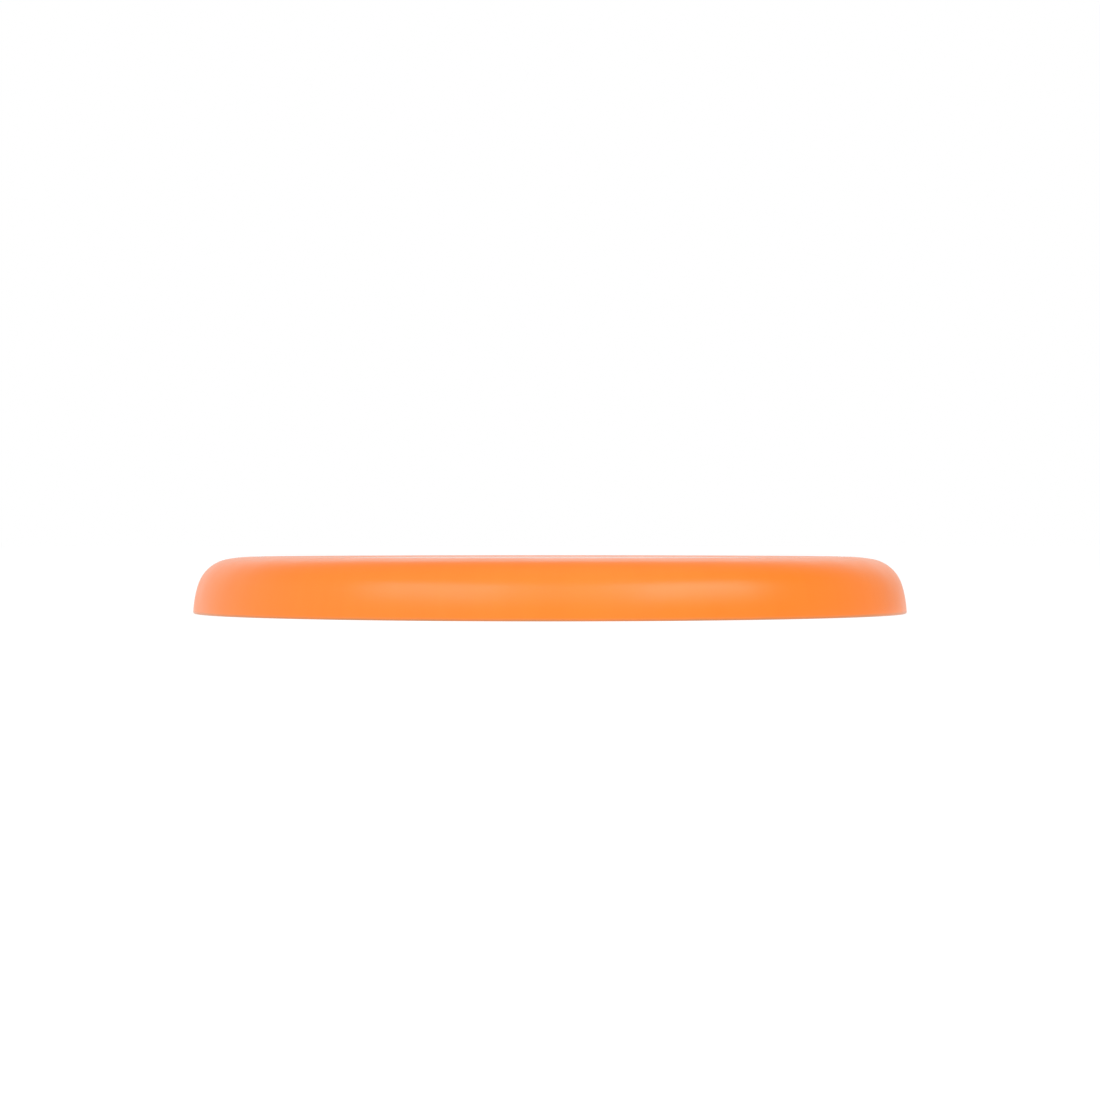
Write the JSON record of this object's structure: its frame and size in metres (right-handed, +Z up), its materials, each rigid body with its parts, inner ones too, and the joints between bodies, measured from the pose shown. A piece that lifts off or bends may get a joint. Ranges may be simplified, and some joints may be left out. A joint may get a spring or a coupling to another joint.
{
  "type": "flying disc",
  "caption": "Round moulded throwing disc with a flat flight plate, a rounded shoulder and a deep rim that fingers curl under.",
  "frame": {"origin": "centre of the plane that the rim's foot stands on", "axes": "+Z up, along the disc's spin axis, out of the flight plate's top; +X and +Y lie across the disc, which is the same in every direction round +Z"},
  "size_m": [0.22, 0.22, 0.0174],
  "materials": {
    "orange_plastic": "satin"
  },
  "bodies": {
    "root": {"disc": "orange_plastic"}
  },
  "joints": []
}
